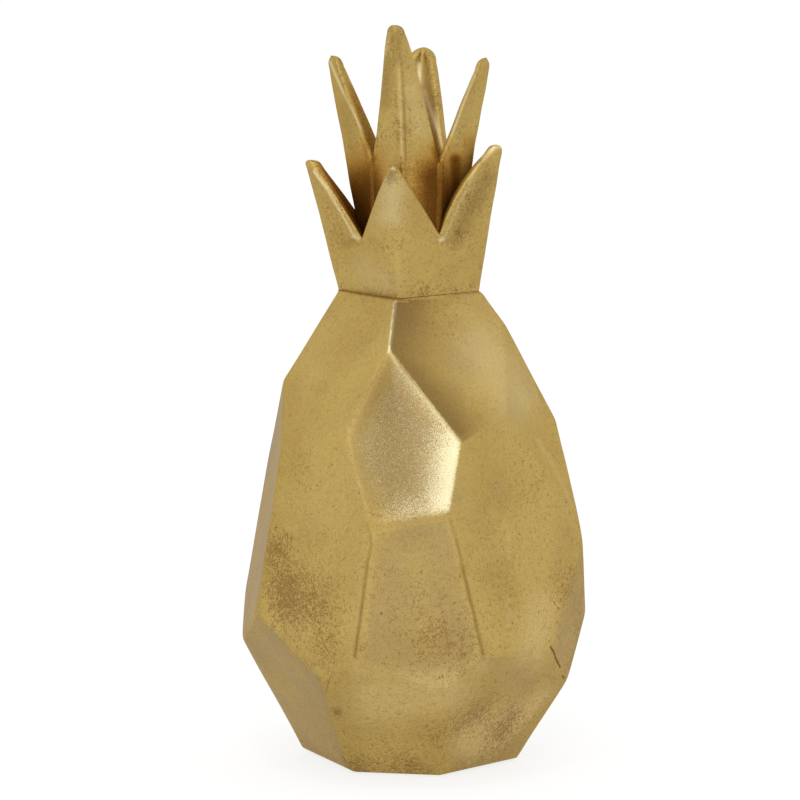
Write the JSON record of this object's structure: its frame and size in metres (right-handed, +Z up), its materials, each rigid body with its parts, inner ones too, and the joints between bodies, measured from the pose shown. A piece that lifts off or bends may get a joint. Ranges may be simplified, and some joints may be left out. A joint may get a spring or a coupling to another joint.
{
  "type": "pineapple figurine",
  "caption": "Free-standing faceted pineapple ornament in worn gold leaf, with a tall crown of folded leaves, flat underneath.",
  "frame": {"origin": "on the surface the figurine stands on, under the fruit's axis", "axes": "+Z up along the fruit and crown, -Y towards the pictured front, +X to the viewer's right"},
  "size_m": [0.1097, 0.1063, 0.2385],
  "materials": {
    "gold_leaf": "satin gold leaf, worn to a brown ground",
    "bare_resin": "matte, as cast",
    "felt": "matte felt"
  },
  "bodies": {
    "root": {"fruit_body": "gold_leaf", "crown_collar": "gold_leaf", "inner_leaf_front": "gold_leaf", "inner_leaf_right": "gold_leaf", "inner_leaf_back": "gold_leaf", "inner_leaf_left": "gold_leaf", "base_plug": "bare_resin", "felt_pad": "felt"}
  },
  "joints": []
}
